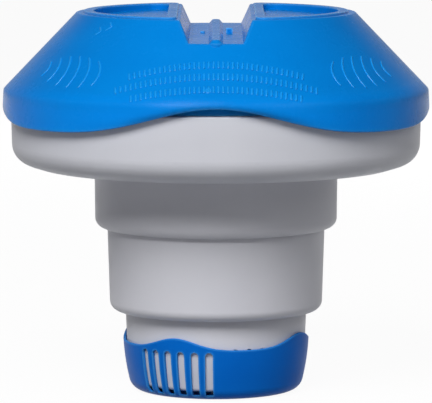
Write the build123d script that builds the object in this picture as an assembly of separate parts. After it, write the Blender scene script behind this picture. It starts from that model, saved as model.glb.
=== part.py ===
from build123d import *

# A floating dispenser for pool chlorine tablets. A blue cover locks with a part turn on a
# white float, and a basket of three nested white stages hangs below it, which push up into
# each other for storage. A blue ring on the lowest stage opens and closes its windows.
# Millimetres, +Z up. The origin is on the ring's flat base, on the common axis, and the
# front looks along -Y. An azimuth is in degrees from the front, positive towards +X.

import os
from math import cos, exp, radians, sin, sqrt

# Heights of the outside, from the base upwards
cup_exposed = 37.5
middle_exposed = 39.0
upper_exposed = 28.4
float_height = 31.3
skirt_height = 5.2
cone_height = 35.6

# Cover
cover_wall = 2.2
cover_top_radius = 64.9
skirt_clearance = 4.2
skirt_flare = 0.9
cover_corner = 1.25
crease_fillet = 2.0
skirt_trough_drop = 14.8
front_crest_rise = 13.0
front_crest_width = 24.0
side_crest_rise = 6.3
side_crest_width = 15.7
skirt_edge_fillet = 0.7
channel_top_width = 32.6
channel_floor_width = 24.4
channel_depth = 9.9
grip_rib_base = 6.6
grip_rib_top = 3.2
grip_rib_height = 1.8
grip_rib_sink = 1.6
grip_rib_overhang = 1.5
grip_rib_corner = 0.6
pad_ledge = 3.3
pad_strip = 1.5
pad_height = 0.9
pad_corner = 4.0
pad_edge_fillet = 0.4
dish_rim_width = 4.6
dish_strip = 4.5
dish_depth = 3.4
dish_rise = 0.8
dish_corner = 6.0
boss_offset = 6.2
boss_size = 3.0
boss_height = 2.4
gate_radius = 1.1
gate_height = 0.9
dish_edge_fillet = 0.5
seat_wall_inset = 0.8
seat_wall = 1.6

# Float
float_radius = 95.8
float_draft = 0.8
float_corner = 9.9
float_foot_inset = 12.5
float_bevel = 3.9
float_wall = 2.2
deck_thickness = 2.4
deck_ledge = 1.6
deck_gap = 0.15
ledge_height = 2.0
float_edge_fillet = 1.0
foam_clearance = 0.3
foam_bevel = 4.4

# Bayonet between the float's neck and the cover's collar
neck_height = 14.0
neck_wall = 2.4
lug_count = 3
lug_clear = 5.0
lug_depth = 2.4
lug_height = 3.0
neck_lug_drop = 4.6
lug_gap = 0.3
collar_wall = 2.2
collar_lift = 1.5
cover_turn = 35.0
stop_arc = 3.0
stop_gap = 2.0

# Basket stages. Each radius grows from the tablet outwards, wall by wall and gap by gap
tablet_radius = 38.1
tablet_clearance = 0.3
cup_wall = 1.3
ring_gap = 0.3
ring_wall = 1.3
belly_drop = 2.3
lip_gap = 0.8
stage_gap = 0.4
hook = 2.7
slide_gap = 0.3
stage_wall = 2.2
middle_draft = 1.3
upper_draft = 0.8
cup_draft = 0.6
stage_corner = 4.6
lip_thickness = 2.2
flange_thickness = 2.5
rest_gap = 0.2
middle_travel = 36.0
cup_travel = 34.0
bore_gap = 0.3
key_count = 3
key_width = 3.0
key_depth = 1.2
key_clearance = 0.3

# Lowest cup and dosing ring
ring_height = 28.9
ring_wave = 5.2
ring_crest_width = 19.0
ring_crest_azimuth = -26.0
ring_crest_count = 4
belly_height = 21.4
belly_foot = 7.7
ring_corner = 6.5
ring_floor = 1.5
ring_edge_fillet = 0.4
foot_lift = 0.4
cup_floor_height = 4.0
cup_floor = 2.4
cup_corner = 2.0
slot_count = 6
slot_pitch = 9.0
slot_width = 3.5
slot_bottom = 2.2
slot_top = 22.7
slot_azimuth = -26.8
window_azimuth = 26.0
window_top = 24.0
window_sill = 0.5
group_count = 2

# Pivot of the ring: a split stud on the cup snaps through the ring's floor
stud_radius = 8.0
stud_clearance = 0.08
stud_wall = 2.0
stud_hook = 1.2
stud_split = 2.0
snap_gap = 0.2
pivot_ledge_height = 1.6
pivot_ledge = 1.8
pivot_boss_wall = 4.0
peg_radius = 2.0
peg_circle = 24.0
peg_gap = 0.3

# Working margins: how far a cut runs past its piece, and how far joined shapes overlap
past = 5.0
bite = 1.0

# Places worked out from the sizes above
middle_bottom = cup_exposed
upper_bottom = middle_bottom + middle_exposed
float_bottom = upper_bottom + upper_exposed
float_top = float_bottom + float_height
crease_height = float_top + skirt_height
cover_top = crease_height + cone_height
pad_top = cover_top + pad_height
channel_floor = cover_top - channel_depth
cover_seam = (crease_height + channel_floor) / 2

float_foot_radius = float_radius - float_draft - float_foot_inset
cover_skirt_radius = float_radius + skirt_clearance
cover_crease_radius = cover_skirt_radius - skirt_flare
seat_wall_radius = float_radius - seat_wall_inset
pad_near = channel_top_width / 2 + pad_strip
pad_far = cover_top_radius - pad_ledge
dish_near = pad_near + dish_strip
dish_far = pad_far - dish_rim_width

ring_radius = tablet_radius + tablet_clearance + cup_wall + ring_gap + ring_wall + belly_drop
cup_radius = ring_radius - ring_wall - ring_gap
middle_lip_radius = ring_radius + lip_gap
cup_flange_radius = middle_lip_radius + hook
middle_inner = cup_flange_radius + slide_gap
middle_outer = middle_inner + stage_wall
middle_top_outer = middle_outer + middle_draft
upper_lip_radius = middle_top_outer + stage_gap
middle_flange_radius = upper_lip_radius + hook
upper_inner = middle_flange_radius + slide_gap
upper_outer = upper_inner + stage_wall
upper_top_outer = upper_outer + upper_draft

cup_flange_bottom = middle_bottom + lip_thickness + rest_gap
cup_top = cup_flange_bottom + flange_thickness
middle_flange_bottom = upper_bottom + lip_thickness + rest_gap
middle_top = middle_flange_bottom + flange_thickness
neck_top = float_top + neck_height

neck_inner = upper_top_outer + bore_gap
neck_outer = neck_inner + neck_wall
neck_lug_radius = neck_outer + lug_depth
collar_inner = neck_lug_radius + lug_gap
collar_outer = collar_inner + collar_wall
cover_lug_radius = neck_outer + lug_gap
neck_lug_top = neck_top - neck_lug_drop
cover_lug_top = neck_lug_top - lug_height - lug_gap

belly_top = belly_height + belly_foot
ring_turn = window_azimuth - slot_azimuth
lug_arc = cover_turn - lug_clear
flange_corner = stage_corner - stage_wall - slide_gap


def at_azimuth(radius, azimuth, height=0.0):
    angle = radians(azimuth)
    return Vector(radius * sin(angle), -radius * cos(angle), height)


def turned(shape, azimuth):
    return Rot(0, 0, azimuth) * shape


def revolved(*points):
    """A solid of revolution from (radius, height) points."""
    outline = make_face(Polyline(*points, close=True))
    return revolve(Plane.XZ * outline, Axis.Z)


def tube(inner, outer, bottom, top):
    return revolved((inner, bottom), (outer, bottom), (outer, top), (inner, top))


def arc_block(inner, outer, bottom, top, azimuth, arc):
    """A block that follows the axis, centred on an azimuth."""
    outline = make_face(Polyline((inner, bottom), (outer, bottom), (outer, top), (inner, top), close=True))
    block = revolve(Plane.XZ * outline, Axis.Z, arc)
    return turned(block, azimuth - 90 - arc / 2)


def ring_edges(part, radius, height):
    """The round edges of a turned part at one radius and height."""
    found = []
    for edge in part.edges().filter_by(GeomType.CIRCLE):
        if abs(edge.radius - radius) < 0.05 and abs(edge.arc_center.Z - height) < 0.05:
            found.append(edge)
    return found


def bump(azimuth, centre, width):
    """A smooth bump of height 1, width degrees from its centre to 1/e."""
    away = (azimuth - centre + 180) % 360 - 180
    return exp(-((away / width) ** 2))


def skirt_edge(azimuth):
    front = bump(azimuth, 0, front_crest_width) + bump(azimuth, 180, front_crest_width)
    side = bump(azimuth, 90, side_crest_width) + bump(azimuth, -90, side_crest_width)
    trough = crease_height - skirt_trough_drop
    return trough + front_crest_rise * front + side_crest_rise * side


def ring_edge(azimuth):
    pitch = 360 / ring_crest_count
    crests = [ring_crest_azimuth + pitch * i for i in range(ring_crest_count)]
    rise = sum(bump(azimuth, crest, ring_crest_width) for crest in crests)
    return ring_height - ring_wave + ring_wave * rise


def closed_curve(radius, height_at, count=72):
    step = 360 / count
    points = [at_azimuth(radius, step * i, height_at(step * i)) for i in range(count)]
    return Spline(*points, periodic=True)


def wavy_band(inner, outer, height_at, far_height):
    """A ring between two radii, wavy on one side and flat at far_height on the other."""
    flat = [closed_curve(radius, lambda azimuth: far_height) for radius in (inner, outer)]
    wavy = [closed_curve(radius, height_at) for radius in (inner, outer)]
    pairs = [(wavy[0], wavy[1]), (flat[0], flat[1]), (wavy[0], flat[0]), (wavy[1], flat[1])]
    faces = [Face.make_surface_from_curves(Edge(a.wrapped), Edge(b.wrapped)) for a, b in pairs]
    band = Solid(Shell(faces))
    return band if band.volume > 0 else Solid(Shell([-face for face in faces]))


def keys(inner, outer, width, bottom, top):
    """Straight ribs that stop one stage from turning in the next."""
    length = top - bottom
    depth = outer - inner
    rib = Box(depth, width, length).moved(Location((inner + depth / 2, 0, bottom + length / 2)))
    return [turned(rib, 90 + i * 360 / key_count) for i in range(key_count)]


def lug_ring(inner, outer, bottom, top, azimuth=0.0):
    pitch = 360 / lug_count
    return [arc_block(inner, outer, bottom, top, azimuth + pitch * i, lug_arc) for i in range(lug_count)]


# ---------------------------------------------------------------- top cover

channel_slope = (channel_top_width - channel_floor_width) / 2 / channel_depth
channel_reach = cover_skirt_radius + past


def cone_radius(height):
    """Radius of the cover's outside on its cone."""
    share = (cover_top - height) / cone_height
    return cover_top_radius + share * (cover_crease_radius - cover_top_radius)


def channel(margin, floor):
    """The channel through the top, or a larger copy of it by a margin on each side."""
    rise = cover_top + past - floor
    low = channel_floor_width / 2 + margin
    high = low + channel_slope * rise
    section = Polyline((-low, floor), (low, floor), (high, floor + rise), (-high, floor + rise), close=True)
    return extrude(Plane.XZ * make_face(section), channel_reach, both=True)


def cover_outside():
    low = crease_height - skirt_trough_drop - past
    return revolved(
        (0, low),
        (cover_skirt_radius, low),
        (cover_crease_radius, crease_height),
        (cover_top_radius, cover_top),
        (0, cover_top),
    )


def cover_inside(wall):
    """The space under the cover, one wall in from its outside and from its channel."""
    low = crease_height - skirt_trough_drop - past - bite
    ceiling = pad_top - dish_depth - wall
    slope = (cover_crease_radius - cover_top_radius) / cone_height
    sideways = wall * sqrt(1 + slope**2)
    shoulder = crease_height - wall * (sqrt(1 + slope**2) - 1) / slope
    space = revolved(
        (0, low),
        (cover_skirt_radius - wall, low),
        (cover_crease_radius - wall, shoulder),
        (cone_radius(ceiling) - sideways, ceiling),
        (0, ceiling),
    )
    return space - channel(wall, channel_floor - wall)


def lobe_outline(near, far, corner):
    """A D on the +X side: straight along the channel, and an arc about the axis."""
    half = sqrt(far**2 - near**2)
    outline = make_face(Line((near, -half), (near, half)) + RadiusArc((near, half), (near, -half), far))
    return fillet(outline.vertices(), corner)


def lobe_pad():
    """The low raised pad on top of the lobe on the +X side."""
    outline = lobe_outline(pad_near, pad_far, pad_corner)
    pad = extrude(Pos(0, 0, cover_top - bite) * outline, pad_height + bite)
    return fillet(pad.faces().sort_by(Axis.Z)[-1].edges(), pad_edge_fillet)


def dish():
    """The shallow D-shaped hollow in the pad on the +X side, deeper towards its rim."""
    low = pad_top - dish_depth
    outline = lobe_outline(dish_near, dish_far, dish_corner)
    shape = extrude(Pos(0, 0, low - bite) * outline, dish_depth + 2 * bite)
    section = Polyline(
        (dish_near - past, low + dish_rise),
        (dish_far, low),
        (dish_far + past, low),
        (dish_far + past, pad_top + past),
        (dish_near - past, pad_top + past),
        close=True,
    )
    above_floor = extrude(Plane.XZ * make_face(section), cover_top_radius, both=True)
    return shape & above_floor


def grip_rib():
    """The flat-topped rib along the channel's floor, with a round nose at each end."""
    low = channel_floor - grip_rib_sink
    high = channel_floor + grip_rib_height
    base, top = grip_rib_base / 2, grip_rib_top / 2
    side = Polyline((0, low), (base, low), (base, channel_floor), (top, high), (0, high), close=True)
    half = make_face(side)
    half = fillet(half.vertices().sort_by(Axis.X)[2:3], grip_rib_corner)
    reach = cone_radius(channel_floor) + grip_rib_overhang - base
    bar = extrude(Plane.XZ * (half + mirror(half, Plane.YZ)), reach, both=True)
    nose = revolve(Plane.XZ * half, Axis.Z)
    return bar + [Pos(0, side * reach, 0) * nose for side in (-1, 1)]


def floor_bosses():
    """A square boss and a moulding gate on the channel's floor, either side of the rib."""
    boss = Box(boss_size, boss_size, 2 * boss_height)
    gate = Cylinder(gate_radius, 2 * gate_height)
    return [Pos(boss_offset, 0, channel_floor) * boss, Pos(-boss_offset, 0, channel_floor) * gate]


def wavy_edges(part, inner):
    """The wavy edges of a skirt or ring that lie outside a radius."""
    found = []
    for edge in part.edges().filter_by(GeomType.BSPLINE):
        middle = edge @ 0.5
        if edge.length > 10 and sqrt(middle.X**2 + middle.Y**2) > inner:
            found.append(edge)
    return found


def dish_edges(outside):
    """The upper edges of the two dishes."""
    inside = (dish_far + pad_far) / 2
    past_strip = (pad_near + dish_near) / 2
    found = []
    for edge in outside.edges():
        box = edge.bounding_box()
        level = box.min.Z > pad_top - 0.01
        if level and abs(edge.center().X) > past_strip and max(abs(box.max.X), abs(box.min.X)) < inside:
            found.append(edge)
    return found


def cover_walls():
    """The rings under the cover, up into its wall: the seat, the collar and the hold-down."""
    seat = tube(seat_wall_radius - seat_wall, seat_wall_radius, float_top + lug_gap, cover_top)
    collar = tube(collar_inner, collar_outer, float_top + collar_lift, cover_top)
    sleeve_top = neck_top + flange_thickness
    hold_down = tube(neck_inner, neck_outer, sleeve_top + lug_gap, cover_top)
    return (seat + collar + hold_down) & cover_inside(cover_wall / 2)


def side_of_seam(above):
    """All of space on one side of the level where the skirt joins the cover's top."""
    reach = 2 * channel_reach
    return Pos(0, 0, cover_seam + (reach if above else -reach) / 2) * Box(reach, reach, reach)


def skirt():
    """The cover below its seam: crease, skirt and the skirt's wavy rounded edge."""
    outside = cover_outside()
    outside = fillet(ring_edges(outside, cover_crease_radius, crease_height), crease_fillet)
    shell = outside - cover_inside(cover_wall)
    far_below = crease_height - skirt_trough_drop - 2 * past
    shell -= wavy_band(seat_wall_radius + bite, cover_skirt_radius + past, skirt_edge, far_below)
    shell = fillet(wavy_edges(shell, cover_crease_radius), skirt_edge_fillet)
    return shell & side_of_seam(above=False)


def rounded_outside():
    """The cover's outside with its channel cut, and every edge of the lobes rounded."""
    outside = cover_outside() - channel(0, channel_floor)
    lobe_edges = []
    for edge in outside.edges():
        low, high = edge.bounding_box().min.Z, edge.bounding_box().max.Z
        along_floor = high < channel_floor + 0.01 and abs(edge.center().X) > 1
        if low > channel_floor - 0.01 and not along_floor:
            lobe_edges.append(edge)
    return fillet(lobe_edges, cover_corner)


def lobed_outside():
    """The rounded outside with the lobes' pads, and a dish in each pad."""
    outside = rounded_outside()
    outside += [lobe_pad(), turned(lobe_pad(), 180)]
    outside -= [dish(), turned(dish(), 180)]
    return fillet(dish_edges(outside), dish_edge_fillet)


def make_top_cover():
    outside = lobed_outside()
    outside += [grip_rib()] + floor_bosses()
    cover = (outside - cover_inside(cover_wall)) & side_of_seam(above=True)
    cover += skirt()
    cover += cover_walls()
    lug_bottom = cover_lug_top - lug_height
    return cover + lug_ring(cover_lug_radius, collar_inner + bite, lug_bottom, cover_lug_top)


# ---------------------------------------------------------------- float


def make_float_tray():
    base_radius = float_radius - float_draft
    bevel_top = float_bottom + float_bevel
    deck_bottom = float_top - deck_thickness
    tray = revolved(
        (neck_inner, float_bottom),
        (float_foot_radius, float_bottom),
        (base_radius, bevel_top),
        (float_radius, float_top),
        (float_radius - float_wall, float_top),
        (float_radius - float_wall, deck_bottom),
        (float_radius - float_wall - deck_ledge, deck_bottom),
        (float_radius - float_wall - deck_ledge, deck_bottom - ledge_height),
        (float_radius - float_wall, deck_bottom - ledge_height),
        (base_radius - float_wall, bevel_top + float_wall),
        (float_foot_radius, float_bottom + float_wall),
        (neck_inner + float_wall, float_bottom + float_wall),
        (neck_inner + float_wall, deck_bottom),
        (neck_inner, deck_bottom),
    )
    tray = fillet(ring_edges(tray, base_radius, bevel_top), float_corner)
    tray = fillet(ring_edges(tray, float_foot_radius, float_bottom), float_corner)
    inner_corner = ring_edges(tray, base_radius - float_wall, bevel_top + float_wall)
    tray = fillet(inner_corner, float_corner - float_wall)
    return fillet(ring_edges(tray, float_radius, float_top), float_edge_fillet)


def make_float_foam():
    outer = float_radius - float_draft - float_wall - deck_ledge - foam_clearance
    inner = neck_inner + float_wall + foam_clearance
    bottom = float_bottom + float_wall
    top = float_top - deck_thickness - ledge_height - foam_clearance
    return revolved(
        (inner, bottom),
        (float_foot_radius - foam_clearance, bottom),
        (outer, bottom + foam_bevel),
        (outer, top),
        (inner, top),
    )


def make_float_deck():
    deck_bottom = float_top - deck_thickness
    plate = tube(neck_inner, float_radius - float_wall - deck_gap, deck_bottom, float_top)
    neck = tube(neck_inner, neck_outer, deck_bottom, neck_top)
    lugs = lug_ring(neck_outer - bite, neck_lug_radius, neck_lug_top - lug_height, neck_lug_top)
    stop_azimuth = -(lug_arc / 2 + stop_gap + stop_arc / 2)
    stop_bottom = cover_lug_top - lug_height
    stop = arc_block(neck_outer - bite, neck_lug_radius, stop_bottom, neck_lug_top, stop_azimuth, stop_arc)
    return plate + neck + lugs + stop


# ---------------------------------------------------------------- telescoping basket


def key_ribs(radius, draft, bottom, top):
    """Ribs inside a drafted wall, set half-way into it."""
    outer = radius + (stage_wall + draft) / 2
    return keys(radius - key_depth, outer, key_width, bottom, top)


def key_notches(radius, bottom, top):
    width = key_width + 2 * key_clearance
    inner = radius - key_depth - key_clearance
    return keys(inner, radius + bite, width, bottom - bite, top + bite)


def make_upper_sleeve():
    floor = upper_bottom + lip_thickness
    sleeve = revolved(
        (upper_lip_radius, upper_bottom),
        (upper_outer, upper_bottom),
        (upper_top_outer, neck_top),
        (neck_outer, neck_top),
        (neck_outer, neck_top + flange_thickness),
        (upper_inner + upper_draft, neck_top + flange_thickness),
        (upper_inner, floor),
        (upper_lip_radius, floor),
    )
    sleeve = fillet(ring_edges(sleeve, upper_outer, upper_bottom), stage_corner)
    sleeve = fillet(ring_edges(sleeve, upper_inner, floor), stage_corner - stage_wall)
    rib_bottom = floor + stage_corner - stage_wall
    rib_top = middle_top + middle_travel + flange_thickness
    return sleeve + key_ribs(upper_inner, upper_draft, rib_bottom, rib_top)


def make_middle_sleeve():
    floor = middle_bottom + lip_thickness
    sleeve = revolved(
        (middle_lip_radius, middle_bottom),
        (middle_outer, middle_bottom),
        (middle_top_outer, middle_flange_bottom),
        (middle_flange_radius, middle_flange_bottom),
        (middle_flange_radius, middle_top),
        (middle_inner + middle_draft, middle_top),
        (middle_inner, floor),
        (middle_lip_radius, floor),
    )
    sleeve = fillet(ring_edges(sleeve, middle_outer, middle_bottom), stage_corner)
    sleeve = fillet(ring_edges(sleeve, middle_inner, floor), stage_corner - stage_wall)
    sleeve = fillet(ring_edges(sleeve, middle_flange_radius, middle_flange_bottom), flange_corner)
    rib_bottom = floor + stage_corner - stage_wall
    sleeve += key_ribs(middle_inner, middle_draft, rib_bottom, cup_top + cup_travel + rest_gap)
    return sleeve - key_notches(upper_inner, middle_flange_bottom, middle_top)


def belly(radius, low):
    """The side of the cup or ring below belly_top, as an arc that narrows to its foot."""

    def point(height):
        share = (belly_top - height) / belly_height
        return (radius - belly_drop * share**2, height)

    return ThreePointArc(point(belly_top), point((belly_top + low) / 2), point(low))


def bellied(radius, low, top, top_radius):
    """A solid cup shape: flat foot at low, bellied side, then a straight side up to top."""
    side = belly(radius, low)
    foot = side @ 1
    rest = Polyline((foot.X, low), (0, low), (0, top), (top_radius, top), (radius, belly_top))
    return revolve(Plane.XZ * make_face(side + rest), Axis.Z)


def foot_edge(part, height):
    """The outer round edge of a bellied part's foot."""
    return [edge for edge in part.edges() if abs(edge.center().Z - height) < 0.01][:1]


def slots(azimuth, bottom, top):
    """Groups of upright slots with round tops, cut through the side of the cup or ring."""
    inner = ring_radius - 2 * past
    depth = 3 * past
    height = top - bottom - slot_width / 2
    straight = Box(depth, slot_width, height).moved(Location((inner + depth / 2, 0, bottom + height / 2)))
    head = Cylinder(slot_width / 2, depth, rotation=(0, 90, 0))
    slot = straight + Pos(inner + depth / 2, 0, bottom + height) * head
    first = azimuth - slot_pitch * (slot_count - 1) / 2 - 90
    group_pitch = 360 / group_count
    group = [turned(slot, first + slot_pitch * i) for i in range(slot_count)]
    return [turned(one, group_pitch * i) for one in group for i in range(group_count)]


def make_pivot_stud():
    """The split stud under the cup, with its snap hook, spacer and hollow centre."""
    hook_top = pivot_ledge_height - snap_gap
    spacer_bottom = pivot_ledge_height + pivot_ledge + rest_gap
    stud = revolved(
        (stud_radius - stud_wall, foot_lift),
        (stud_radius, foot_lift),
        (stud_radius + stud_hook, hook_top),
        (stud_radius, hook_top),
        (stud_radius, spacer_bottom),
        (stud_radius + stud_wall, spacer_bottom),
        (stud_radius + stud_wall, cup_floor_height + bite),
        (stud_radius - stud_wall, cup_floor_height + bite),
    )
    split = Box(4 * stud_radius, stud_split, 2 * spacer_bottom)
    return stud - [split, turned(split, 90)]


def make_lower_cup():
    top_radius = cup_radius + cup_draft
    outside = bellied(cup_radius, cup_floor_height, cup_top, top_radius)
    outside = fillet(foot_edge(outside, cup_floor_height), cup_corner)
    floor = cup_floor_height + cup_floor
    inside = bellied(cup_radius - cup_wall, floor, cup_top + bite, top_radius - cup_wall)
    inside = fillet(foot_edge(inside, floor), cup_corner - cup_wall)
    cup = outside - inside
    flange = tube(top_radius - cup_wall, cup_flange_radius, cup_flange_bottom, cup_top)
    cup += fillet(ring_edges(flange, cup_flange_radius, cup_flange_bottom), flange_corner)
    cup -= key_notches(middle_inner, cup_flange_bottom, cup_top)
    cup -= slots(window_azimuth, floor + window_sill, window_top)
    cup += make_pivot_stud()
    peg_length = cup_floor_height + bite - foot_lift
    return cup + Pos(0, -peg_circle, foot_lift + peg_length / 2) * Cylinder(peg_radius, peg_length)


def peg_slot():
    """The curved slot in the ring's floor that the cup's peg runs in, from stop to stop."""
    half = peg_radius + peg_gap
    inner, outer = peg_circle - half, peg_circle + half
    track = arc_block(inner, outer, -bite, ring_floor + bite, -ring_turn / 2, ring_turn)
    end = Cylinder(half, 4 * ring_floor)
    ends = [Pos(at_azimuth(peg_circle, azimuth)) * end for azimuth in (0, -ring_turn)]
    return [track] + ends


def make_dosing_ring():
    top = ring_height + past
    outside = bellied(ring_radius, 0, top, ring_radius)
    outside = fillet(foot_edge(outside, 0), ring_corner)
    inside = bellied(ring_radius - ring_wall, ring_floor, top + bite, ring_radius - ring_wall)
    inside = fillet(foot_edge(inside, ring_floor), ring_corner - ring_floor)
    ring = outside - inside
    ring -= wavy_band(ring_radius - past, ring_radius + past, ring_edge, top + past)
    ring = fillet(wavy_edges(ring, 0), ring_edge_fillet)
    ring -= slots(slot_azimuth, slot_bottom, slot_top)
    bore = stud_radius + stud_clearance
    boss_top = pivot_ledge_height + pivot_ledge
    ring += tube(bore, bore + pivot_boss_wall, 0.0, boss_top)
    ring -= Cylinder(bore, 4 * boss_top)
    ring -= Cylinder(stud_radius + stud_hook + peg_gap, 2 * pivot_ledge_height)
    return ring - peg_slot()


# ---------------------------------------------------------------- the files

makers = {
    "top_cover": make_top_cover,
    "float_deck": make_float_deck,
    "float_foam": make_float_foam,
    "float_tray": make_float_tray,
    "upper_sleeve": make_upper_sleeve,
    "middle_sleeve": make_middle_sleeve,
    "lower_cup": make_lower_cup,
    "dosing_ring": make_dosing_ring,
}

os.makedirs("parts", exist_ok=True)
for node, maker in makers.items():
    export_step(maker(), f"parts/{node}.step")
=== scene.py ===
from math import atan2, cos, degrees, pi, radians, sin

import bmesh
import bpy
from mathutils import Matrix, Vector


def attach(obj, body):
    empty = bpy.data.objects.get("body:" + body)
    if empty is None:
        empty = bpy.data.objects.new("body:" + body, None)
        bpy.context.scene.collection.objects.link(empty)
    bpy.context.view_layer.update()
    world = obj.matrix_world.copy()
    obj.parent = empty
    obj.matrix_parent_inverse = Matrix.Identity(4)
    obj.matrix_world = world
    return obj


# Looks of a floating chlorine dispenser: plastics with moulded grain, the raised grip
# details of the cover, a pale floor, soft light and the camera. Metres, +Z up, front on -Y.

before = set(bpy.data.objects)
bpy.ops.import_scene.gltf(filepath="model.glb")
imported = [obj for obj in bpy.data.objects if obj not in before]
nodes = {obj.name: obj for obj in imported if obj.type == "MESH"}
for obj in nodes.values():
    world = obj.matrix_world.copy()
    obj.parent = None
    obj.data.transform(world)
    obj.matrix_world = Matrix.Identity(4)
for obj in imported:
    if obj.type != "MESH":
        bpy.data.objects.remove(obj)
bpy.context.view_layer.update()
scene = bpy.context.scene


def mm(value):
    return value * 0.001


# ---------------------------------------------------------------- sizes, in metres

# The cover's cone runs from its crease up to its flat top
crease_radius = mm(99.1)
top_radius = mm(64.9)
crease_height = mm(141.4)
top_height = mm(177.0)

# Every raised bar and stroke reaches this far into the cone below it
bar_sink = mm(0.5)

# Rows of grip bars: the height of each row's middle up the slant, and its half width in
# degrees. A row drops away from its middle by bar_drop for each degree squared.
bar_rows = ((mm(9.2), 23.0), (mm(16.6), 28.5), (mm(23.4), 26.0))
bar_drop = mm(0.0115)
bar_width = mm(1.1)
bar_length = mm(4.2)
bar_rise = mm(0.42)
bar_pitch = mm(2.1)

# Fans of curved strokes, one on each side of the rows: each stroke's place in degrees round
# the cone and its length in millimetres
fan_azimuths = (38.5, 43.0, 47.6, 52.4, 57.4, 62.6)
fan_lengths = (15.0, 18.5, 19.5, 18.5, 15.0, 10.0)
fan_height = mm(16.6)
fan_lean = 15.0
fan_bow = mm(2.6)
fan_width = mm(1.1)
fan_rise = mm(0.35)

# Chevrons of two arms: their places in degrees round the cone and in height up the slant.
# An arm's middle lies chevron_spread of half an arm above or below the tip.
chevron_places = ((-48.6, mm(41.0)), (-44.6, mm(44.0)))
chevron_arm = mm(3.6)
chevron_lean = 45
chevron_spread = 0.7
chevron_width = mm(0.9)
chevron_rise = mm(0.35)

# Gate mark: its rings from the dimple outwards, as shares of its radius and of its rise
gate_azimuth = -2.1
gate_height = mm(8.6)
gate_radius = mm(1.5)
gate_rise = mm(0.3)
gate_rings = ((0.35, 0.35), (0.6, 0.9), (0.8, 1.0), (0.95, 0.7), (1.0, -1.5))
gate_sides = 28

# The floor lies just under the ring's flat base, so that the two faces never coincide
floor_half = 20.0
floor_drop = mm(0.2)

# Lamps stand this far from a point in the part's middle
lamp_distance = 1.5
lamp_aim = Vector((0.0, 0.0, 0.09))

# ---------------------------------------------------------------- settings of the plastics

# Soft edges everywhere, and a softer band on both sides of the cover's crease
edge_softness = mm(0.35)
crease_softness = mm(6.0)
crease_reach = mm(12.0)

# Painted highlight: paler outer edges of the blue pieces, standing in for the light that their
# rounded edges catch
painted_highlight_reach = mm(1.15)
painted_highlight_share = 0.75

# Painted light: the cover's skirt is coloured lighter than its cone, so that it looks as
# brightly lit as the cone, and the tint fades into the cone's colour at the crease
skirt_painted_light_tint = (1.0, 1.15, 1.22, 1.0)
skirt_painted_light_fade = mm(5.0)

# Noise, in waves for each metre
cloud_scale = 16.0
flow_scale = 7.0
speck_scale = 2600.0
smear_scale = 42.0
scuff_scale = 260.0
peel_scale = 420.0
grain_scale = 2300.0
flow_stretch = (1.0, 1.0, 5.0)
scuff_stretch = (1.0, 1.0, 0.12)


# ---------------------------------------------------------------- colours and materials


def linear(red, green, blue):
    """A linear colour from display values of 0 to 255."""
    values = []
    for value in (red, green, blue):
        share = value / 255
        values.append(share / 12.92 if share <= 0.04045 else ((share + 0.055) / 1.055) ** 2.4)
    return (*values, 1.0)


class Graph:
    """Adds nodes to a node tree."""

    def __init__(self, tree):
        self.tree = tree

    def node(self, kind, **settings):
        made = self.tree.nodes.new(kind)
        for key, value in settings.items():
            setattr(made, key, value)
        return made

    def put(self, value, socket):
        """Sets a socket to a number or a colour, or links an output to it."""
        if isinstance(value, (float, tuple)):
            socket.default_value = value
        else:
            self.tree.links.new(value, socket)

    def ramp(self, source, low, high, start=0.0, end=1.0):
        """Goes from start to end while source goes from low to high."""
        made = self.node("ShaderNodeMapRange", clamp=True)
        self.put(low, made.inputs["From Min"])
        self.put(high, made.inputs["From Max"])
        self.put(start, made.inputs["To Min"])
        self.put(end, made.inputs["To Max"])
        self.put(source, made.inputs["Value"])
        return made.outputs["Result"]

    def maths(self, kind, first, second=0.0):
        made = self.node("ShaderNodeMath", operation=kind)
        self.put(first, made.inputs[0])
        self.put(second, made.inputs[1])
        return made.outputs["Value"]

    def mix(self, share, first, second, data="RGBA", **settings):
        """Blends two colours, vectors or numbers."""
        kind = "VALUE" if data == "FLOAT" else data
        made = self.node("ShaderNodeMix", data_type=data, **settings)
        self.put(share, made.inputs["Factor"])
        for name, value in (("A", first), ("B", second)):
            self.put(value, next(s for s in made.inputs if s.name == name and s.type == kind))
        return next(s for s in made.outputs if s.type == kind)

    def height_of(self, vector):
        split = self.node("ShaderNodeSeparateXYZ")
        self.put(vector, split.inputs["Vector"])
        return split.outputs["Z"]


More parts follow.
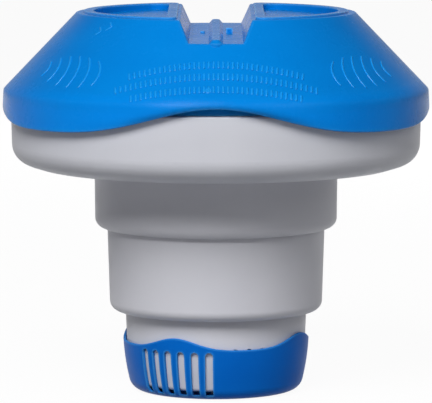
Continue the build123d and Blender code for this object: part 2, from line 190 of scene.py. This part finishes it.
class Surface(Graph):
    """The nodes of a new material, with its textures in the piece's own coordinates."""

    def __init__(self, name):
        self.material = bpy.data.materials.new(name)
        self.material.use_nodes = True
        super().__init__(self.material.node_tree)
        self.shader = self.tree.nodes["Principled BSDF"]
        self.place = self.node("ShaderNodeTexCoord").outputs["Object"]

    def stretched(self, scale):
        mapping = self.node("ShaderNodeMapping")
        self.put(scale, mapping.inputs["Scale"])
        self.put(self.place, mapping.inputs["Vector"])
        return mapping.outputs["Vector"]

    def noise(self, scale, detail=3.0, rough=0.55, place=None):
        made = self.node("ShaderNodeTexNoise")
        self.put(scale, made.inputs["Scale"])
        self.put(detail, made.inputs["Detail"])
        self.put(rough, made.inputs["Roughness"])
        self.put(place or self.place, made.inputs["Vector"])
        return made.outputs["Fac"]

    def bump(self, height, distance, normal=None):
        made = self.node("ShaderNodeBump")
        self.put(distance, made.inputs["Distance"])
        self.put(height, made.inputs["Height"])
        if normal is not None:
            self.put(normal, made.inputs["Normal"])
        return made.outputs["Normal"]

    def soft_edges(self, radius):
        made = self.node("ShaderNodeBevel", samples=8)
        self.put(radius, made.inputs["Radius"])
        return made.outputs["Normal"]

    def painted_highlight_edges(self, reach):
        """Rises from 0 to 1 towards the outer edges of a piece, within reach of them: the mask
        of the painted edge highlight.
        """
        made = self.node("ShaderNodeAmbientOcclusion", inside=True, only_local=True, samples=8)
        self.put(reach, made.inputs["Distance"])
        return self.ramp(made.outputs["AO"], 0.55, 0.92, 1.0, 0.0)

    def soft_band(self, normal, height, reach, radius):
        """Softens edges with a large radius close to a height, and keeps normal elsewhere."""
        away = self.maths("ABSOLUTE", self.maths("SUBTRACT", self.height_of(self.place), height))
        share = self.ramp(away, reach * 0.5, reach, 1.0, 0.0)
        mixed = self.mix(share, normal, self.soft_edges(radius), "VECTOR")
        unit = self.node("ShaderNodeVectorMath", operation="NORMALIZE")
        self.put(mixed, unit.inputs[0])
        return unit.outputs["Vector"]


def plastic(
    name, colour, deep, pale, roughness, spread, peel, grain, specular, crease=None, painted_rim_highlight=None
):
    """Moulded plastic: cloudy colour, fine specks, scuffs in its gloss and a moulded grain.

    roughness goes up and down by spread, and peel and grain are the depths of its ripple and
    of its grain. With a crease, the piece is softer there, and painted light makes it lighter
    under the crease. With a rim colour, its outer edges are painted paler as a highlight.
    """
    g = Surface(name)
    clouds = g.ramp(g.noise(cloud_scale, 4.0), 0.35, 0.68)
    toned = g.mix(clouds, colour, deep)
    flow = g.noise(flow_scale, 2.0, place=g.stretched(flow_stretch))
    toned = g.mix(g.ramp(flow, 0.5, 0.75, 0.0, 0.5), toned, pale)
    specks = g.ramp(g.noise(speck_scale, 1.0), 0.62, 0.8, 0.0, 0.35)
    toned = g.mix(specks, toned, pale)
    # Painted light: under the crease the colour is made lighter, so the skirt looks as lit as
    # the cone
    if crease is not None:
        painted_light_share = g.ramp(g.height_of(g.place), crease - skirt_painted_light_fade, crease + skirt_painted_light_fade, 1.0, 0.0)
        toned = g.mix(painted_light_share, toned, skirt_painted_light_tint, blend_type="MULTIPLY")
    # Painted highlight: the outer edges are coloured paler, as if they caught the light
    if painted_rim_highlight is not None:
        share = g.maths("MULTIPLY", g.painted_highlight_edges(painted_highlight_reach), painted_highlight_share)
        toned = g.mix(share, toned, painted_rim_highlight)
    g.put(toned, g.shader.inputs["Base Color"])
    smears = g.ramp(g.noise(smear_scale, 5.0, 0.65), 0.35, 0.7, -spread, spread)
    scuffs = g.noise(scuff_scale, 2.0, 0.6, g.stretched(scuff_stretch))
    scuffs = g.ramp(scuffs, 0.6, 0.74, 0.0, spread)
    gloss = g.maths("ADD", g.maths("ADD", smears, scuffs), roughness)
    g.put(gloss, g.shader.inputs["Roughness"])
    edges = g.soft_edges(edge_softness)
    if crease is not None:
        edges = g.soft_band(edges, crease, crease_reach, crease_softness)
    ripple = g.bump(g.noise(peel_scale, 2.0), peel, edges)
    g.put(g.bump(g.noise(grain_scale, 2.0), grain, ripple), g.shader.inputs["Normal"])
    g.put(specular, g.shader.inputs["Specular IOR Level"])
    return g.material


cover_blue = plastic(
    "cover_blue_plastic",
    linear(0, 128, 214),
    linear(0, 121, 207),
    linear(5, 134, 219),
    roughness=0.27,
    spread=0.04,
    peel=mm(0.015),
    grain=mm(0.003),
    specular=0.07,
    crease=crease_height,
    # painted highlight colour for the cover's outer edges
    painted_rim_highlight=linear(96, 184, 242),
)
ring_blue = plastic(
    "ring_blue_plastic",
    linear(0, 110, 211),
    linear(0, 103, 203),
    linear(4, 119, 217),
    roughness=0.42,
    spread=0.05,
    peel=mm(0.02),
    grain=mm(0.006),
    specular=0.07,
    # painted highlight colour for the ring's outer edges
    painted_rim_highlight=linear(70, 162, 234),
)
# Painted highlight: the raised bars, strokes, chevrons and gate mark are coloured paler than the
# cover, standing in for the light that catches their tops
painted_highlight_blue = plastic(
    "raised_painted_highlight_plastic",
    linear(14, 147, 229),
    linear(6, 139, 222),
    linear(28, 155, 235),
    roughness=0.26,
    spread=0.04,
    peel=mm(0.01),
    grain=mm(0.003),
    specular=0.3,
)
float_white = plastic(
    "float_white_plastic",
    linear(213, 214, 221),
    linear(207, 208, 216),
    linear(219, 220, 226),
    roughness=0.5,
    spread=0.06,
    peel=mm(0.02),
    grain=mm(0.012),
    specular=0.35,
)
basket_white = plastic(
    "basket_white_plastic",
    linear(217, 217, 224),
    linear(211, 211, 219),
    linear(222, 222, 228),
    roughness=0.46,
    spread=0.06,
    peel=mm(0.02),
    grain=mm(0.010),
    specular=0.4,
)


def foam_material():
    """Closed-cell foam: white beads pressed together."""
    g = Surface("foam_beads")
    cells = g.node("ShaderNodeTexVoronoi", feature="F1")
    g.put(320.0, cells.inputs["Scale"])
    g.put(g.place, cells.inputs["Vector"])
    shade = g.ramp(cells.outputs["Distance"], 0.3, 0.7)
    beads = g.mix(shade, linear(236, 236, 234), linear(206, 206, 204))
    g.put(beads, g.shader.inputs["Base Color"])
    g.put(g.bump(cells.outputs["Distance"], mm(0.4)), g.shader.inputs["Normal"])
    g.put(g.ramp(g.noise(300.0), 0.3, 0.7, 0.8, 0.95), g.shader.inputs["Roughness"])
    return g.material


foam_white = foam_material()


def dress(piece, material):
    piece.data.materials.clear()
    piece.data.materials.append(material)


dress(nodes["top_cover"], cover_blue)
dress(nodes["dosing_ring"], ring_blue)
for name in ("float_tray", "float_deck"):
    dress(nodes[name], float_white)
for name in ("upper_sleeve", "middle_sleeve", "lower_cup"):
    dress(nodes[name], basket_white)
dress(nodes["float_foam"], foam_white)


# ---------------------------------------------------------------- raised details of the cover

# Direction up the cone's slant: outwards, upwards
slant = Vector((top_radius - crease_radius, top_height - crease_height))
slant.normalize()


def on_cone(azimuth, along, up, lift):
    """A point on the cone: along its round, up its slant from the crease, lifted off it."""
    radius = crease_radius + slant.x * up
    angle = radians(azimuth) + along / radius
    out = radius + slant.y * lift
    height = crease_height + slant.y * up - slant.x * lift
    return Vector((out * sin(angle), -out * cos(angle), height))


def join_rings(mesh, rings):
    """Faces between rings of points, each ring joined to the next one."""
    sides = len(rings[0])
    for first, second in zip(rings, rings[1:]):
        for j in range(sides):
            k = (j + 1) % sides
            mesh.faces.new((first[j], first[k], second[k], second[j]))


def capsule(mesh, length, width, rise, place, bow=0.0):
    """A rounded bar, its lower half sunk and its middle bowed sideways by bow.

    place puts (along, across, lift) into space.
    """
    sides, caps, spans = 10, 3, (12 if bow else 1)
    half = (length - width) / 2
    tip = []
    for i in range(1, caps + 1):
        turn = pi / 2 * i / caps
        tip.append((half + cos(turn) * width / 2, sin(turn)))
    sections = [(-middle, share) for middle, share in tip]
    sections += [(half * (2 * i / spans - 1), 1.0) for i in range(1, spans)]
    sections += tip[::-1]
    rings = []
    for middle, share in sections:
        side = bow * (1 - (2 * middle / length) ** 2)
        ring = []
        for j in range(sides):
            spin = 2 * pi * j / sides
            across = share * cos(spin) * width / 2
            lift = share * sin(spin)
            lift *= rise if lift > 0 else bar_sink
            ring.append(mesh.verts.new(place(middle, side + across, lift)))
        rings.append(ring)
    join_rings(mesh, rings)
    mesh.faces.new(rings[0][::-1])
    mesh.faces.new(rings[-1])


def finished(name, mesh, material, body):
    bmesh.ops.recalc_face_normals(mesh, faces=mesh.faces)
    data = bpy.data.meshes.new(name)
    mesh.to_mesh(data)
    mesh.free()
    for face in data.polygons:
        face.use_smooth = True
    piece = bpy.data.objects.new(name, data)
    scene.collection.objects.link(piece)
    data.materials.append(material)
    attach(piece, body)


def leaning(azimuth, height, lean):
    """Places a bar on the cone, its length turned by lean degrees from straight up the slant."""
    c, s = cos(radians(lean)), sin(radians(lean))

    def place(length, across, lift):
        along = length * s + across * c
        return on_cone(azimuth, along, height + length * c - across * s, lift)

    return place


def bar_rows_mesh():
    """Rows of upright bars that arch over the front and the back of the cone."""
    mesh = bmesh.new()
    for top, half in bar_rows:
        arc = radians(1) * (crease_radius + slant.x * top)
        count = int(2 * half * arc / bar_pitch)
        for facing in (0, 180):
            for i in range(count + 1):
                off = 2 * half * i / count - half
                lean = degrees(atan2(2 * bar_drop * off, arc))
                place = leaning(facing + off, top - bar_drop * off**2, lean)
                capsule(mesh, bar_length, bar_width, bar_rise, place)
    return mesh


def fan_mesh():
    """Fans of curved strokes, bowed towards the rows between them."""
    mesh = bmesh.new()
    for facing in (0, 180):
        for side in (-1, 1):
            for azimuth, length in zip(fan_azimuths, fan_lengths):
                place = leaning(facing + side * azimuth, fan_height, side * fan_lean)
                capsule(mesh, mm(length), fan_width, fan_rise, place, -side * fan_bow)
    return mesh


def chevron_mesh():
    """Two chevrons on the left of the front, each of two short arms."""
    mesh = bmesh.new()
    for azimuth, height in chevron_places:
        for side in (-1, 1):
            reach = chevron_arm / 2 * chevron_spread
            place = leaning(azimuth, height + side * reach, -side * chevron_lean)
            capsule(mesh, chevron_arm, chevron_width, chevron_rise, place)
    return mesh


def gate_mesh():
    """The mark that the moulding gate leaves: a low disc with a dimple."""
    mesh = bmesh.new()
    rings = []
    for share, lift in gate_rings:
        ring = []
        for j in range(gate_sides):
            spin = 2 * pi * j / gate_sides
            along = cos(spin) * share * gate_radius
            up = gate_height + sin(spin) * share * gate_radius
            ring.append(mesh.verts.new(on_cone(gate_azimuth, along, up, lift * gate_rise)))
        rings.append(ring)
    join_rings(mesh, rings)
    mesh.faces.new(rings[0])
    mesh.faces.new(rings[-1][::-1])
    return mesh


# The raised details below wear the paler material with the painted highlight
finished("cover_grip_bars", bar_rows_mesh(), painted_highlight_blue, "cover")
finished("cover_grip_fans", fan_mesh(), painted_highlight_blue, "cover")
finished("cover_turn_chevrons", chevron_mesh(), painted_highlight_blue, "cover")
finished("cover_gate_mark", gate_mesh(), painted_highlight_blue, "cover")


# ---------------------------------------------------------------- floor, light and camera


def floor_material():
    """Almost white where it is seen or mirrored, and greyer for the light that it returns."""
    g = Surface("floor_pale")
    rays = g.node("ShaderNodeLightPath")
    seen = g.maths("MAXIMUM", rays.outputs["Is Camera Ray"], rays.outputs["Is Glossy Ray"])
    seen = g.maths("MAXIMUM", seen, rays.outputs["Is Transmission Ray"])
    grey = g.mix(g.ramp(g.noise(3.0), 0.3, 0.7), linear(146, 147, 149), linear(151, 152, 154))
    g.put(g.mix(seen, grey, linear(245, 245, 246)), g.shader.inputs["Base Color"])
    g.put(g.ramp(g.noise(40.0), 0.3, 0.7, 0.85, 0.95), g.shader.inputs["Roughness"])
    g.put(0.1, g.shader.inputs["Specular IOR Level"])
    glow = g.node("ShaderNodeEmission")
    g.put(1.0, glow.inputs["Strength"])
    blend = g.node("ShaderNodeMixShader")
    g.put(g.maths("MULTIPLY", seen, 0.95), blend.inputs["Fac"])
    g.put(g.shader.outputs["BSDF"], blend.inputs[1])
    g.put(glow.outputs["Emission"], blend.inputs[2])
    output = next(n for n in g.tree.nodes if n.type == "OUTPUT_MATERIAL")
    g.put(blend.outputs["Shader"], output.inputs["Surface"])
    return g.material


def add_floor():
    mesh = bmesh.new()
    bmesh.ops.create_grid(mesh, x_segments=1, y_segments=1, size=floor_half)
    data = bpy.data.meshes.new("floor")
    mesh.to_mesh(data)
    mesh.free()
    data.materials.append(floor_material())
    floor = bpy.data.objects.new("floor", data)
    floor.location.z = -floor_drop
    scene.collection.objects.link(floor)


def add_lamp(name, azimuth, elevation, size, power, mirrored=True):
    """A round soft lamp, seen by no camera, and in no gloss unless it is mirrored."""
    lamp = bpy.data.lights.new(name, "AREA")
    lamp.shape = "DISK"
    lamp.size = size
    lamp.energy = power
    made = bpy.data.objects.new(name, lamp)
    made.visible_camera = False
    made.visible_glossy = mirrored
    scene.collection.objects.link(made)
    across, up = radians(azimuth), radians(elevation)
    away = Vector((sin(across) * cos(up), -cos(across) * cos(up), sin(up)))
    made.location = lamp_aim + lamp_distance * away
    made.rotation_euler = away.to_track_quat("Z", "Y").to_euler()


def add_world(level, mirrored, seen):
    """An even dim light, at level.

    Mirrored, the room is pale low down and dark above. The camera sees it almost white.
    """
    world = bpy.data.worlds.new("studio")
    scene.world = world
    world.use_nodes = True
    g = Graph(world.node_tree)
    background = g.tree.nodes["Background"]
    rays = g.node("ShaderNodeLightPath")
    up = g.height_of(g.node("ShaderNodeTexCoord").outputs["Generated"])
    room = g.ramp(up, 0.2, 0.5, mirrored, level)
    gloss = g.maths(
        "MAXIMUM", rays.outputs["Is Glossy Ray"], rays.outputs["Is Transmission Ray"]
    )
    strength = g.mix(gloss, level, room, "FLOAT")
    strength = g.mix(rays.outputs["Is Camera Ray"], strength, seen, "FLOAT")
    g.put(strength, background.inputs["Strength"])
    g.put((0.98, 0.985, 1.0, 1.0), background.inputs["Color"])


def add_camera(distance, height, pitch, lens):
    data = bpy.data.cameras.new("camera")
    data.lens = lens
    data.sensor_width = 36.0
    data.clip_end = 100.0
    camera = bpy.data.objects.new("camera", data)
    camera.location = (0.0, -distance, height)
    camera.rotation_euler = (radians(90 - pitch), 0.0, 0.0)
    scene.collection.objects.link(camera)
    scene.camera = camera


add_floor()
add_world(level=0.1, mirrored=0.5, seen=0.97)
add_lamp("key", azimuth=-18.0, elevation=41.5, size=0.72, power=18.8)
add_lamp("side", azimuth=40.0, elevation=36.0, size=0.9, power=3.0)
add_lamp("back", azimuth=172.0, elevation=17.0, size=0.9, power=9.0, mirrored=False)
add_camera(distance=1.8957, height=0.2936, pitch=6.187, lens=339.55)
scene.view_settings.view_transform = "Standard"
